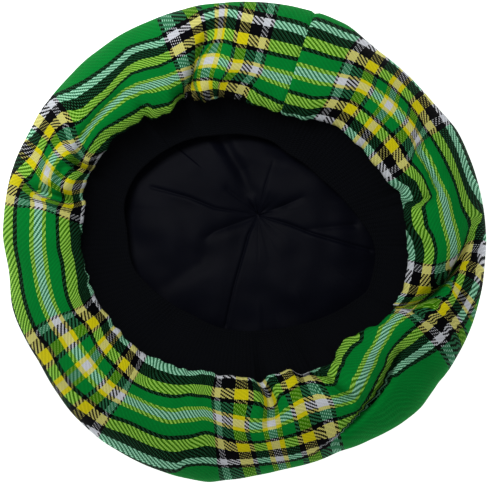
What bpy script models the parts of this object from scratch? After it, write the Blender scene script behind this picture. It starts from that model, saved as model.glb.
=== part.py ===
"""Tartan tam o' shanter lying on its crown with the opening up.

Units are metres in the scene and millimetres in the constants. +Z goes up through the opening, the crown's
flat underside rests at z = 0. Angles turn anticlockwise seen from above. The cloth runs as one rounded
wall from the knit band's seam (the hem) over the crest, round the rim and under to the crown's seam.
"""

import math

import bpy
import numpy as np

MM = 0.001
GAP = 0.3  # between one piece and the next
TARTAN = 1.6  # wall of the underside and the crown
KNIT = 2.8  # wall of the headband
SATIN = 1.2  # wall of the lining

HEM_Z = 42.0  # seam of the tartan and the band
CREST_Z = 54.0  # highest line of the tartan
CREST_AT = 0.42  # where the crest lies, from the hem (0) to the rim (1)
INNER_ROUND = 0.75  # how full the tartan is from the hem to the crest, and from the crest to the rim
OUTER_ROUND = (2.3, 0.55)
RIM_Z = 30.0  # height of the widest line
FREE_Z = 18.5  # free edge of the band
SEAM_TURN = 62.0  # degrees the wall turns under before the crown's seam

FLAT_R = 104.0  # part of the crown that lies flat
FLAT_AT = (6.0, -6.0)
PINCH_AT = (8.4, 16.6)  # where the lining's gores meet

RIBS = 95  # coarse ribs of the headband's free edge
RIB_H = 0.25
BAND_ROUND = (1.25, 1.1)  # how full the band's basin is, in plan and in height

# Sections round the hat: angle in degrees, then radii of the hem, the rim and the band's free edge.
SECTIONS = (
    # angle, hem, rim, free
    (0, 93.2, 139.3, 75.1),
    (10, 93.0, 139.3, 69.5),
    (20, 92.7, 139.3, 64.5),
    (30, 87.3, 137.5, 60.9),
    (40, 85.9, 135.3, 58.3),
    (50, 85.1, 135.0, 57.8),
    (60, 80.9, 136.0, 57.7),
    (70, 76.9, 138.9, 59.7),
    (80, 77.3, 138.9, 61.8),
    (90, 80.6, 138.9, 62.8),
    (100, 83.9, 138.9, 63.8),
    (110, 87.9, 138.9, 65.7),
    (120, 85.9, 138.9, 68.1),
    (130, 90.7, 138.9, 70.0),
    (140, 93.6, 138.9, 72.1),
    (150, 95.2, 139.0, 73.4),
    (160, 95.5, 138.9, 72.7),
    (170, 92.5, 139.0, 69.1),
    (180, 92.6, 137.7, 66.6),
    (190, 91.0, 136.6, 65.3),
    (200, 89.8, 137.2, 61.5),
    (210, 87.0, 135.7, 57.4),
    (220, 85.4, 137.8, 54.2),
    (230, 83.0, 139.2, 51.5),
    (240, 79.8, 139.3, 50.3),
    (250, 77.6, 139.3, 50.3),
    (260, 75.6, 139.1, 50.3),
    (270, 76.0, 134.7, 50.6),
    (280, 78.5, 132.1, 51.2),
    (290, 77.5, 131.9, 52.7),
    (300, 82.6, 133.1, 55.2),
    (310, 82.4, 137.2, 59.2),
    (320, 80.5, 138.4, 64.3),
    (330, 87.3, 138.5, 70.2),
    (340, 93.1, 139.2, 76.2),
    (350, 94.2, 139.3, 76.6),
)

# Folds of the tartan: each runs from one (angle, radius) to another, a ridge up or a crease down.
TARTAN_FOLDS = (
    # from angle, radius, to angle, radius, half width, height
    (305, 100, 334, 96, 13, 6.0),  # hump over the band, lower right
    (304, 118, 327, 111, 6, -7.5),  # crease outside the hump
    (299, 84, 304, 107, 6, -6.5),  # tuck between the hump and the bottom
    (339, 97, 353, 120, 7, -8.5),  # deep tuck at the right
    (278, 80, 278, 104, 5, -4.5),  # pucker at the bottom
    (113, 90, 104, 107, 6, -6.5),  # pucker at the top
    (97, 124, 99, 112, 6, -3.0),  # its outer end
    (150, 110, 156, 102, 5, -4.0),  # upper left, inner crease
    (166, 98, 165, 130, 6, -5.5),  # upper left, deep pucker
    (131, 110, 147, 111, 5, -3.5),  # crease along the stripes, upper left
    (17, 116, 29, 116, 5, -3.5),  # crease along the stripes, right
    (13, 94, 13, 108, 5, -3.5),  # kink at the right
)

# Seams and folds of the lining: each runs from one point (x, y) to another.
LINING_FOLDS = (
    # from x, y, to x, y, half width, height
    (8, 16, -10, -49, 3.5, -2.2),  # seam toward the front
    (8, 16, -54, 33, 3.5, -2.2),  # seam toward the left
    (8, 16, 74, -4, 3.5, -2.2),  # seam toward the right
    (8, 16, 17, 48, 3.5, -1.6),  # seam toward the back
    (6, 22, -12, 58, 6.0, -2.4),  # broad fold
    (10, 17, 34, 27, 4.0, -1.8),  # short fold
    (4, 14, -24, -5, 5.0, -1.6),  # soft fold
)

AROUND = 90  # steps round the cloth pieces
UPPER_STEPS = (0.0, 0.03, 0.1, 0.2, 0.32, 0.45, 0.58, 0.7, 0.81, 0.9, 0.965, 1.0)  # hem to rim
UNDER_TURNS = (16.0, 33.0, 48.0)  # degrees, rim to the crown's seam
FLOOR_TURN = 76.0  # degrees, past the seam
CROWN_RINGS = (0.66, 0.33)  # share of the way from the hub to the flat part's edge

# Rings of the band from its seam (0) to its free edge (1).
BAND_RINGS = (
    # step, wall
    (0.0, TARTAN),
    (0.08, 2.2),
    (0.25, KNIT),
    (0.5, KNIT),
    (0.78, KNIT),
    (1.0, 2.0),
)

LINING_DROP = 6.0  # from the hem down to the lining's top edge

# Rings of the lining's side: distance outside the hem, height (None: LINING_DROP below the hem) and how
# far the wall faces up there (0 level, 1 up).
LINING_SIDE = (
    # outside hem, height, up
    (5.0, None, 0.0),
    (4.2, 27.0, 0.1),
    (1.0, 15.0, 0.45),
    (-7.0, 8.6, 0.85),
)

# Rings of the lining's floor from its side (1) to the pinch (0).
LINING_FLOOR = (
    # share, height
    (0.78, 8.2),
    (0.56, 8.6),
    (0.34, 8.0),
    (0.14, 6.2),
)
PINCH_Z = 4.2


def ring_columns(angles):
    """Hem, rim and free-edge radii at these angles, by a smooth closed curve through the sections."""
    rows = np.array(SECTIONS, float)
    step = 360.0 / len(rows)
    at = np.degrees(angles) % 360.0 / step
    i = np.floor(at).astype(int)
    f = (at - i)[:, None]
    a, b, c, d = (rows[(i + k) % len(rows), 1:] for k in (-1, 0, 1, 2))
    return b + 0.5 * f * (c - a + f * (2 * a - 5 * b + 4 * c - d + f * (3 * (b - c) + d - a)))


def along(points, folds):
    """Sum of the folds' heights at these plan points: each falls off beside its line and at its ends."""
    total = np.zeros(points.shape[:-1])
    for x0, y0, x1, y1, width, height in folds:
        start = np.array((x0, y0))
        line = np.array((x1, y1)) - start
        share = np.clip(((points - start) @ line) / (line @ line), 0.0, 1.0)
        off = points - start - share[..., None] * line
        total += height * np.exp(-(off**2).sum(-1) / width**2)
    return total


def polar_folds():
    """The tartan's folds with their ends as plan points."""
    found = []
    for a0, r0, a1, r1, width, height in TARTAN_FOLDS:
        a0, a1 = math.radians(a0), math.radians(a1)
        ends = (r0 * math.cos(a0), r0 * math.sin(a0), r1 * math.cos(a1), r1 * math.sin(a1))
        found.append((*ends, width, height))
    return found


def flat_radius(angles):
    """Distance from the axis to the edge of the crown's flat part."""
    x, y = FLAT_AT
    toward = x * np.cos(angles) + y * np.sin(angles)
    return toward + np.sqrt(FLAT_R**2 - (x * x + y * y - toward**2))


def wall_height(t):
    """Height of the tartan from the hem (t = 0) over the crest to the rim (t = 1)."""
    inner = np.clip((CREST_AT - t) / CREST_AT, 0.0, 1.0)
    outer = np.clip((t - CREST_AT) / (1.0 - CREST_AT), 0.0, 1.0)
    rise = HEM_Z + (CREST_Z - HEM_Z) * (1.0 - inner**2) ** INNER_ROUND
    fall = RIM_Z + (CREST_Z - RIM_Z) * (1.0 - outer ** OUTER_ROUND[0]) ** OUTER_ROUND[1]
    return np.where(t < CREST_AT, rise, fall)


def upper_points(angles, steps):
    """Grid of points on the tartan's upper side, from the hem to the rim."""
    hem, rim, _ = ring_columns(angles).T
    t = np.asarray(steps)
    r = hem[:, None] + (rim - hem)[:, None] * t
    x = r * np.cos(angles)[:, None]
    y = r * np.sin(angles)[:, None]
    folds = along(np.stack((x, y), -1), polar_folds())
    z = wall_height(t)[None, :] + folds * (1.0 - t**4)
    return np.stack((x, y, z), -1)


def under_points(angles, turns):
    """Grid of points where the wall turns under, at these degrees from the rim (0) to the floor (90)."""
    turns = np.radians(turns)
    rim = ring_columns(angles)[:, 1]
    flat = flat_radius(angles)
    r = flat[:, None] + (rim - flat)[:, None] * np.cos(turns)
    z = RIM_Z * (1.0 - np.sin(turns)) * np.ones_like(r)
    return np.stack((r * np.cos(angles)[:, None], r * np.sin(angles)[:, None], z), -1)


def hem_height(angles):
    """Height of the hem, with the folds that reach it."""
    return upper_points(angles, (0.0,))[:, 0, 2]


def normals(grid):
    """Unit normals of a grid closed round its first axis, up where its columns run outward."""
    around = np.roll(grid, -1, 0) - np.roll(grid, 1, 0)
    across = np.gradient(grid, axis=1)
    found = np.cross(across, around)
    return found / np.linalg.norm(found, axis=2, keepdims=True)


def make(name, verts, faces, colour, roughness):
    """Adds one closed body with its own material."""
    mesh = bpy.data.meshes.new(name)
    mesh.from_pydata([tuple(MM * float(c) for c in v) for v in verts], [], faces)
    mesh.validate()
    mesh.shade_smooth()
    obj = bpy.data.objects.new(name, mesh)
    bpy.context.scene.collection.objects.link(obj)
    material = bpy.data.materials.new(name)
    material.use_nodes = True
    shader = material.node_tree.nodes["Principled BSDF"]
    shader.inputs["Base Color"].default_value = (*colour, 1.0)
    shader.inputs["Roughness"].default_value = roughness
    mesh.materials.append(material)
    return obj


def shell_faces(around, across, closed=True):
    """Quads of two grids laid one after the other, joined at both ends: the first faces out."""
    faces = []
    second = around * across
    for i in range(around):
        k = (i + 1) % around
        for j in range(across - 1):
            a, b = i * across + j, k * across + j
            faces.append((a, a + 1, b + 1, b))
            faces.append((second + a, second + b, second + b + 1, second + a + 1))
        a, b = i * across, k * across
        faces.append((a, b, second + b, second + a))
        if closed:
            a, b = a + across - 1, b + across - 1
            faces.append((b, a, second + a, second + b))
    return faces


def ring_shell(name, outer, facing, wall, colour, roughness):
    """A closed wall between a grid and the same grid moved back by wall along its facing."""
    inner = outer - facing * wall
    around, across = outer.shape[:2]
    verts = np.concatenate((outer.reshape(-1, 3), inner.reshape(-1, 3)))
    return make(name, verts, shell_faces(around, across), colour, roughness)


def dish(name, outer, inner, poles, colour, roughness):
    """A closed wall between two grids that both end in a pole."""
    around, across = outer.shape[:2]
    verts = np.concatenate((outer.reshape(-1, 3), inner.reshape(-1, 3), np.array(poles)))
    faces = shell_faces(around, across, closed=False)
    second = around * across
    low, high = 2 * second, 2 * second + 1
    for i in range(around):
        a = i * across + across - 1
        b = (i + 1) % around * across + across - 1
        faces.append((b, a, low))
        faces.append((second + a, second + b, high))
    return make(name, verts, faces, colour, roughness)


def underside(angles):
    """The tartan strip from the band's seam over the crest and round the rim to the crown's seam."""
    turns = (*UNDER_TURNS, SEAM_TURN, FLOOR_TURN)
    grid = np.concatenate((upper_points(angles, UPPER_STEPS), under_points(angles, turns)), 1)
    facing = normals(grid)
    facing[:, 0] = np.stack((-np.cos(angles), -np.sin(angles), 0.0 * angles), -1)
    return ring_shell("underside", grid[:, :-1], facing[:, :-1], TARTAN, (0.02, 0.25, 0.06), 0.85)


def crown(angles):
    """The tartan disc on the floor, turned up to the seam with the strip."""
    rim = ring_columns(angles)[:, 1]
    start = SEAM_TURN + math.degrees(GAP / (rim - flat_radius(angles)).min()) * 1.2
    turned = under_points(angles, (UNDER_TURNS[-1], start, FLOOR_TURN, 90.0))
    hub = np.array((*FLAT_AT, 0.0))
    edge = turned[:, -1]
    flat = np.stack([hub + (edge - hub) * share for share in CROWN_RINGS], 1)
    outer = np.concatenate((turned, flat), 1)
    up = -normals(outer)
    up[:, 3:] = (0.0, 0.0, 1.0)
    outer, up = outer[:, 1:], up[:, 1:]
    inner = outer + up * TARTAN
    poles = (hub, hub + (0.0, 0.0, TARTAN))
    return dish("crown", outer, inner, poles, (0.02, 0.22, 0.06), 0.85)


def band_points(angles, steps):
    """Grid of points on the band's upper side, from just under the hem to the free edge."""
    hem, _, free = ring_columns(angles).T
    k = np.asarray(steps)
    top = hem_height(angles) - GAP
    plan, height = BAND_ROUND
    r = free[:, None] + (hem - free)[:, None] * np.cos(k * math.pi / 2) ** plan
    z = FREE_Z + (top - FREE_Z)[:, None] * (1.0 - np.sin(k * math.pi / 2) ** height)
    ribs = RIB_H * np.sin(RIBS * angles)[:, None] * k
    return np.stack((r * np.cos(angles)[:, None], r * np.sin(angles)[:, None], z + ribs), -1)


def headband(angles):
    """The knit band, a basin from the hem down to its free edge."""
    steps, wall = np.array(BAND_RINGS).T
    grid = band_points(angles, steps)
    down = normals(grid)
    down[:, -1] = (0.0, 0.0, -1.0)
    out = grid[:, 0, :2] / np.linalg.norm(grid[:, 0, :2], axis=1, keepdims=True)
    down[:, 0, :2] = out
    down[:, 0, 2] = 0.0
    under = grid + down * wall[:, None]
    around, across = grid.shape[:2]
    verts = np.concatenate((grid.reshape(-1, 3), under.reshape(-1, 3)))
    faces = [f[::-1] for f in shell_faces(around, across)]
    return make("headband", verts, faces, (0.004, 0.004, 0.005), 0.95)


def lining_points(angles):
    """Upper and lower grids of the lining, from behind the band's seam to near the pinch."""
    hem = ring_columns(angles)[:, 0]
    top = hem_height(angles) - LINING_DROP
    out = np.stack((np.cos(angles), np.sin(angles)), -1)
    hub = np.array(PINCH_AT)
    upper, lower = [], []
    for offset, height, up in LINING_SIDE:
        z = top if height is None else np.full_like(hem, height)
        ring = np.concatenate((out * (hem + offset)[:, None], z[:, None]), 1)
        way = np.concatenate((-out * (1.0 - up), np.full((len(out), 1), up)), 1)
        upper.append(ring)
        lower.append(ring - way / np.linalg.norm(way, axis=1, keepdims=True) * SATIN)
    base = upper[-1][:, :2]
    for share, height in LINING_FLOOR:
        plan = hub + (base - hub) * share
        z = height + along(plan, LINING_FOLDS)
        ring = np.concatenate((plan, z[:, None]), 1)
        upper.append(ring)
        lower.append(ring - (0.0, 0.0, SATIN))
    return np.stack(upper, 1), np.stack(lower, 1)


def lining(angles):
    """The satin lining, four gores that meet in a pinch above the crown."""
    upper, lower = lining_points(angles)
    hub = np.array((*PINCH_AT, PINCH_Z))
    poles = (hub, hub - (0.0, 0.0, SATIN))
    obj = dish("lining", upper, lower, poles, (0.006, 0.006, 0.008), 0.45)
    obj.data.flip_normals()
    return obj


def centre(objects):
    """Moves everything so that the bounding box stands centred on the origin."""
    points = np.array([v.co for o in objects for v in o.data.vertices])
    low, high = points.min(0), points.max(0)
    shift = np.array((-(low[0] + high[0]) / 2, -(low[1] + high[1]) / 2, -low[2]))
    for o in objects:
        for v in o.data.vertices:
            v.co = tuple(np.array(v.co) + shift)


def main():
    """Clears the scene and builds the four pieces."""
    for obj in list(bpy.data.objects):
        bpy.data.objects.remove(obj)
    angles = np.arange(AROUND) * math.tau / AROUND
    pieces = [underside(angles), crown(angles), headband(angles), lining(angles)]
    centre(pieces)


main()
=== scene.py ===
"""The looks of a tartan tam o' shanter that lies on its crown with its opening up.

Lengths are millimetres, angles are degrees anticlockwise from +X seen from above, and places on the
plaid strip are counts of 0.6 mm along and across it (the threads that `Strip` and `Underside` number),
unless a name says otherwise. Meshes are in metres.
"""

import logging
import math
from dataclasses import dataclass
from enum import Enum

import bpy
import numpy as np
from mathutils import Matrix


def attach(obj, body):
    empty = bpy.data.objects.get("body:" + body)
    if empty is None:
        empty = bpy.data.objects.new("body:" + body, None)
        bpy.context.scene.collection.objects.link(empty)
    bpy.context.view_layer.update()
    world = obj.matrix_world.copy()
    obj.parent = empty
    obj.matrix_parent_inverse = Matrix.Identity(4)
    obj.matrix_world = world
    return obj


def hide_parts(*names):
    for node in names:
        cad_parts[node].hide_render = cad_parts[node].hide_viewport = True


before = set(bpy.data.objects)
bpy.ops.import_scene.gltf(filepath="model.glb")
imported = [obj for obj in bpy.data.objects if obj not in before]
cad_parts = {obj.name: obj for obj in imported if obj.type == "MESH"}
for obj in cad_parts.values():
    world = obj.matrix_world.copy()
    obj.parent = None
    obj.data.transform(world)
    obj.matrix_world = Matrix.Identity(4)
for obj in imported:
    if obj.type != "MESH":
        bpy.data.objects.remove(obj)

Array = np.ndarray
Colour = tuple[float, float, float]
Socket = bpy.types.NodeSocket

MM = 0.001
BODY = "root"
CLOTH_MAP = "cloth"  # the mesh's map of places on the flat cut, in metres
LOG = logging.getLogger("tam")

PLAN_CENTRE = np.array((-0.68, -0.91))  # in the frame; the angles and radii below turn about it
HEM_Z = 42.0  # seam of the tartan and the band
CREST_Z = 54.0  # highest line of the tartan
CREST_AT = 0.42  # of the way from the hem to the rim
INNER_ROUND = 0.75  # how full the tartan is from the hem to the crest, and from the crest to the rim
OUTER_ROUND = (2.3, 0.55)
RIM_Z = 30.0  # height of the widest line
FREE_Z = 18.5  # free edge of the band
SEAM_TURN = 62.0  # how far the wall turns under before the crown's seam
FLAT_R = 104.0  # part of the crown that lies flat
FLAT_AT = (6.0, -6.0)
PINCH_AT = np.array((8.4, 16.6))  # where the lining's gores meet
UP = np.array((0.0, 0.0, 1.0))
COUNT = 0.6  # one count along or across the plaid strip
RAMP_STEPS = 255.0  # a colour ramp is read in this many even steps


def srgb(red: float, green: float, blue: float) -> Colour:
    """Turns a screen colour, each part 0 to 255, into linear light, each part 0 to 1."""
    shares = [c / 255.0 for c in (red, green, blue)]
    return tuple(c / 12.92 if c < 0.04045 else ((c + 0.055) / 1.055) ** 2.4 for c in shares)


def polar(angle: Array, radius: Array) -> Array:
    """Gives the plan points of angles in degrees and radii."""
    return np.stack((radius * np.cos(np.radians(angle)), radius * np.sin(np.radians(angle))), -1)


def unit(vectors: Array) -> Array:
    """Scales vectors to length one."""
    return vectors / np.maximum(np.linalg.norm(vectors, axis=-1, keepdims=True), 1e-9)


def run_to_hub(points: Array, hub: Array) -> Array:
    """Measures how far the cloth runs from each point in to its hub.

    Args:
        points: points round the piece by points from its edge inward.
        hub: the point in the middle.

    Returns:
        The length of cloth for each point.
    """
    inward = np.linalg.norm(np.diff(points, axis=1), axis=2)
    away = np.concatenate((inward, np.linalg.norm(points[:, -1:] - hub, axis=2)), 1)
    return np.cumsum(away[:, ::-1], axis=1)[:, ::-1]


class Curve:
    """A smooth curve through rows of values that never swings past them."""

    def __init__(self, at: Array, values: Array) -> None:
        """Works out the slopes at the rows.

        Args:
            at: where each row stands, rising.
            values: one value or array of values for each row.
        """
        self.at = np.asarray(at, float)
        self.values = np.asarray(values, float)
        self.gap = np.diff(self.at).reshape((-1,) + (1,) * (self.values.ndim - 1))
        rise = np.diff(self.values, axis=0) / self.gap
        before, after = rise[:-1], rise[1:]
        near, far = 2 * self.gap[1:] + self.gap[:-1], self.gap[1:] + 2 * self.gap[:-1]
        same = before * after > 0
        safe = np.where(same, before, 1.0), np.where(same, after, 1.0)
        inner = np.where(same, (near + far) / (near / safe[0] + far / safe[1]), 0.0)
        first = self.end_slope(self.gap[0], self.gap[1], rise[0], rise[1])
        last = self.end_slope(self.gap[-1], self.gap[-2], rise[-1], rise[-2])
        self.slopes = np.concatenate((first[None], inner, last[None]))

    @staticmethod
    def end_slope(gap: Array, next_gap: Array, rise: Array, next_rise: Array) -> Array:
        """Works out the slope at the first or last row.

        Args:
            gap: the distance from the end to the next row.
            next_gap: the distance after that.
            rise: the rise over the first distance.
            next_rise: the rise over the second.

        Returns:
            The slope, held back where it would swing past the next row.
        """
        slope = ((2 * gap + next_gap) * rise - gap * next_rise) / (gap + next_gap)
        slope = np.where(slope * rise <= 0, 0.0, slope)
        over = (rise * next_rise <= 0) & (np.abs(slope) > 3 * np.abs(rise))
        return np.where(over, 3 * rise, slope)

    def __call__(self, x: Array) -> Array:
        """Reads the curve.

        Args:
            x: where to read it.

        Returns:
            A value or array of values for each place.
        """
        i = np.clip(np.searchsorted(self.at, x, side="right") - 1, 0, len(self.at) - 2)
        gap = self.gap[i]
        t = (np.asarray(x) - self.at[i]).reshape(gap.shape) / gap
        a, b = self.values[i], self.values[i + 1]
        da, db = self.slopes[i] * gap, self.slopes[i + 1] * gap
        return a + t * (da + t * (3 * (b - a) - 2 * da - db + t * (2 * (a - b) + da + db)))


class FoldKind(Enum):
    """How a fold falls off beside its line: the power of the fall."""

    RIDGE = 2.0
    CREASE = 1.3


RIDGE, CREASE = FoldKind


@dataclass(frozen=True)
class Fold:
    """A ridge or crease along a line in plan, with its height at each of the line's points."""

    kind: FoldKind
    width: float
    path: tuple[tuple[float, float, float], ...]  # x, y, height

    SHOULDER = 0.25  # how much cloth a crease pushes up on its two sides
    SHOULDER_WIDTH = 2.5

    @classmethod
    def turned(cls, kind: FoldKind, width: float, *path: tuple[float, float, float]) -> "Fold":
        """Makes a fold from its kind, half its width, and angle, radius and height of its points."""
        points = [(*polar(np.array(a), np.array(r)), h) for a, r, h in path]
        return cls(kind, width, tuple((float(x), float(y), float(h)) for x, y, h in points))

    def heights(self, plan: Array) -> Array:
        """Works out the height that the fold adds.

        Args:
            plan: plan points.

        Returns:
            The height at each point.
        """
        path = np.array(self.path)
        off = np.full(plan.shape[:-1], np.inf)
        height = np.zeros(plan.shape[:-1])
        for start, end in zip(path[:-1], path[1:]):
            line = end[:2] - start[:2]
            share = np.clip(((plan - start[:2]) @ line) / (line @ line), 0.0, 1.0)
            here = np.linalg.norm(plan - start[:2] - share[..., None] * line, axis=-1)
            height = np.where(here < off, start[2] + (end[2] - start[2]) * share, height)
            off = np.minimum(here, off)
        fall = np.exp(-((off / self.width) ** self.kind.value))
        if self.kind is CREASE:
            wide = np.exp(-((off / (self.width * self.SHOULDER_WIDTH)) ** 2))
            fall = (1.0 + self.SHOULDER) * fall - self.SHOULDER * wide
        return height * fall


@dataclass(frozen=True)
class Crumple:
    """The slight unevenness of soft cloth: a sum of waves in many directions, the same on every run."""

    seed: int
    shortest: float
    longest: float
    waves: int = 36

    def __call__(self, points: Array) -> Array:
        """Reads the unevenness.

        Args:
            points: places in plan or in space, in millimetres.

        Returns:
            A value from about -1 to 1 for each place.
        """
        rng = np.random.default_rng(self.seed)
        ways = unit(rng.normal(size=(self.waves, points.shape[-1])))
        lengths = np.exp(rng.uniform(math.log(self.shortest), math.log(self.longest), self.waves))
        phases = rng.uniform(0.0, math.tau, self.waves)
        total = np.zeros(points.shape[:-1])
        for way, length, phase in zip(ways, lengths, phases):
            total += length * np.cos((points @ way) * math.tau / length + phase)
        return total / (np.sqrt((lengths**2).sum()))


@dataclass
class ClothFace:
    """A face of a piece of cloth: points round the hat by points across, and their cut places."""

    points: Array  # round, across, 3
    flat: Array  # round + 1, across, 2, in metres: the last row closes the ring

    def normals(self, smooth: int = 0) -> Array:
        """Works out the normals, up where the points run outward.

        Args:
            smooth: how many times neighbours are averaged first.

        Returns:
            A unit vector for each point.
        """
        around = np.roll(self.points, -1, 0) - np.roll(self.points, 1, 0)
        found = unit(np.cross(np.gradient(self.points, axis=1), around))
        for _ in range(smooth):
            found = found + np.roll(found, 1, 0) + np.roll(found, -1, 0)
            padded = np.pad(found, ((0, 0), (1, 1), (0, 0)), mode="edge")
            found = unit(padded[:, :-2] + padded[:, 1:-1] + padded[:, 2:])
        return found

    def columns(self, part: slice) -> "ClothFace":
        """Takes some of the columns, or turns their order round."""
        return ClothFace(self.points[:, part], self.flat[:, part])

    def joined(self, other: "ClothFace") -> "ClothFace":
        """Sets another face's columns after this one's."""
        pairs = (self.points, other.points), (self.flat, other.flat)
        return ClothFace(*(np.concatenate(pair, 1) for pair in pairs))


class Needle:
    """Makes mesh objects out of cloth faces."""

    @staticmethod
    def cells(around: int, across: int) -> tuple[Array, Array]:
        """Counts the cells of a net, round by round."""
        net = np.meshgrid(np.arange(around), np.arange(across), indexing="ij")
        return tuple(numbers.ravel() for numbers in net)

    @staticmethod
    def corners(flat: Array, *corners: tuple[Array, Array]) -> Array:
        """Gathers the places on the cut of every face's corners, each given by rows and columns."""
        return np.stack([flat[corner] for corner in corners], 1).reshape(-1, 2)

    @staticmethod
    def ring(name: str, loop: ClothFace) -> bpy.types.Object:
        """Makes a ring whose section is a closed loop.

        Args:
            name: the piece's name.
            loop: the section's points in order, round the hat.

        Returns:
            The object.
        """
        around, across = loop.points.shape[:2]
        i, j = Needle.cells(around, across)
        k, m = (i + 1) % around, (j + 1) % across
        faces = np.stack((i * across + j, i * across + m, k * across + m, k * across + j), 1)
        flat = Needle.corners(loop.flat, (i, j), (i, m), (i + 1, m), (i + 1, j))
        return Needle.object(name, loop.points.reshape(-1, 3), faces.tolist(), flat)

    @staticmethod
    def disc(name: str, top: ClothFace, low: ClothFace, hubs: Array) -> bpy.types.Object:
        """Makes a round piece with two faces that each run in to a hub, the middle of the cut.

        Args:
            name: the piece's name.
            top: the upper face, from its edge to near its hub.
            low: the lower face in the same order.
            hubs: the two hub points, upper and lower.

        Returns:
            The object.
        """
        loop = low.columns(slice(None, None, -1)).joined(top)
        around, across = loop.points.shape[:2]
        i, j = Needle.cells(around, across - 1)
        first, second = i * across + j, (i + 1) % around * across + j
        faces = np.stack((first, second, second + 1, first + 1), 1).tolist()
        flat = [Needle.corners(loop.flat, (i, j), (i + 1, j), (i + 1, j + 1), (i, j + 1))]
        i = np.arange(around)
        hub = around * across
        for here, there, column in ((i, i + 1, across - 1), (i + 1, i, 0)):
            edge = [rows % around * across + column for rows in (here, there)]
            faces += np.stack((*edge, np.full(around, hub)), 1).tolist()
            places = (loop.flat[here, column], loop.flat[there, column], np.zeros((around, 2)))
            flat.append(np.stack(places, 1).reshape(-1, 2))
            hub += 1
        points = np.concatenate((loop.points.reshape(-1, 3), hubs))
        return Needle.object(name, points, faces, np.concatenate(flat))

    @staticmethod
    def object(name: str, points: Array, faces: list[list[int]], flat: Array) -> bpy.types.Object:
        """Makes the object and its map of places on the cut.

        Args:
            name: the piece's name.
            points: vertices in millimetres about the plan centre.
            faces: vertex numbers of each face.
            flat: the place on the cut of each face corner, in order.

        Returns:
            The object, smooth shaded.
        """
        mesh = bpy.data.meshes.new(name)
        places = (points + (*PLAN_CENTRE, 0.0)) * MM
        mesh.from_pydata(places.tolist(), [], faces)
        cloth = mesh.uv_layers.new(name=CLOTH_MAP)
        cloth.data.foreach_set("uv", flat.astype(np.float32).ravel())
        mesh.shade_smooth()
        mesh.update()
        obj = bpy.data.objects.new(name, mesh)
        bpy.context.scene.collection.objects.link(obj)
        return obj


@dataclass(frozen=True)
class Blots:
    """Smooth noise over a piece, for small differences of shade or height."""

    scale: float  # blots to a metre
    detail: float
    share: float  # what the noise, 0 to 1, is multiplied by


class Graph:
    """Lays out one material's nodes with short calls."""

    def __init__(self, name: str) -> None:
        """Starts a material with its surface shader.

        Args:
            name: the material's name.
        """
        self.material = bpy.data.materials.new(name)
        self.material.use_nodes = True
        self.tree = self.material.node_tree
        self.surface = self.tree.nodes["Principled BSDF"]

    def add(self, kind: str, *inputs: object, **settings: object) -> bpy.types.Node:
        """Adds a node.

        Args:
            kind: the node's type.
            inputs: a socket or a number for each input in order, or None to leave it.
            settings: the node's own settings.

        Returns:
            The node.
        """
        node = self.tree.nodes.new(kind)
        for key, value in settings.items():
            setattr(node, key, value)
        for socket, value in zip(node.inputs, inputs):
            self.feed(socket, value)
        return node

    def feed(self, socket: Socket, value: object) -> None:
        """Links or sets an input.

        Args:
            socket: the input.
            value: a socket, a number or a colour, or None to leave the input.
        """
        if isinstance(value, bpy.types.NodeSocket):
            self.tree.links.new(value, socket)
        elif value is not None:
            socket.default_value = value

    def math(self, operation: str, *inputs: object) -> Socket:
        """Adds a sum of one, two or three values."""
        return self.add("ShaderNodeMath", *inputs, operation=operation).outputs[0]

    def flat_place(self, pitch: float) -> tuple[Socket, Socket]:
        """Reads the place on the cut, counted in pitches.

        Args:
            pitch: the length of one count, in millimetres.

        Returns:
            The counts along and across the cut.
        """
        place = self.add("ShaderNodeUVMap", uv_map=CLOTH_MAP).outputs[0]
        split = self.add("ShaderNodeSeparateXYZ", place)
        return tuple(self.math("MULTIPLY", split.outputs[k], 1.0 / (pitch * MM)) for k in (0, 1))

    def blend(self, share: object, low: object, high: object, how: str = "MIX") -> Socket:
        """Blends two colours.

        Args:
            share: the second colour's share.
            low: the first colour.
            high: the second colour.
            how: the way of blending.

        Returns:
            The blended colour.
        """
        node = self.add("ShaderNodeMix", data_type="RGBA", blend_type=how)
        for number, value in ((0, share), (6, low), (7, high)):
            self.feed(node.inputs[number], value)
        return node.outputs[2]

    def grey(self, value: Socket) -> Socket:
        """Makes a grey that is as light as a value."""
        return self.add("ShaderNodeCombineColor", value, value, value).outputs[0]

    def lightness(self, colour: Socket) -> Socket:
        """Reads how light a colour is."""
        return self.add("ShaderNodeRGBToBW", colour).outputs[0]

    def shaded(self, colour: object, shade: Socket) -> Socket:
        """Darkens a colour to a share of itself."""
        return self.blend(1.0, colour, self.grey(shade), "MULTIPLY")

    def blotted(self, value: object, blots: Blots) -> Socket:
        """Adds smooth noise to a value.

        Args:
            value: a socket or a number.
            blots: the noise.

        Returns:
            The sum.
        """
        place = self.add("ShaderNodeTexCoord").outputs["Object"]
        noise = self.add("ShaderNodeTexNoise", place, None, blots.scale, blots.detail).outputs[0]
        return self.math("MULTIPLY_ADD", noise, blots.share, value)

    def bump(self, height: Socket, depth: float) -> None:
        """Raises the surface.

        Args:
            height: the height, 0 to 1.
            depth: what a height of 1 is, in millimetres.
        """
        node = self.add("ShaderNodeBump", 1.0, depth * MM)
        self.tree.links.new(height, node.inputs["Height"])
        self.tree.links.new(node.outputs[0], self.surface.inputs["Normal"])

    def dress(self, colour: Socket, **numbers: float) -> bpy.types.Material:
        """Sets the surface's colour and its constant numbers.

        Args:
            colour: the colour.
            numbers: the value of each named socket, with _ for a space.

        Returns:
            The finished material.
        """
        self.feed(self.surface.inputs["Base Color"], colour)
        for key, value in numbers.items():
            self.surface.inputs[key.replace("_", " ")].default_value = value
        return self.material


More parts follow.
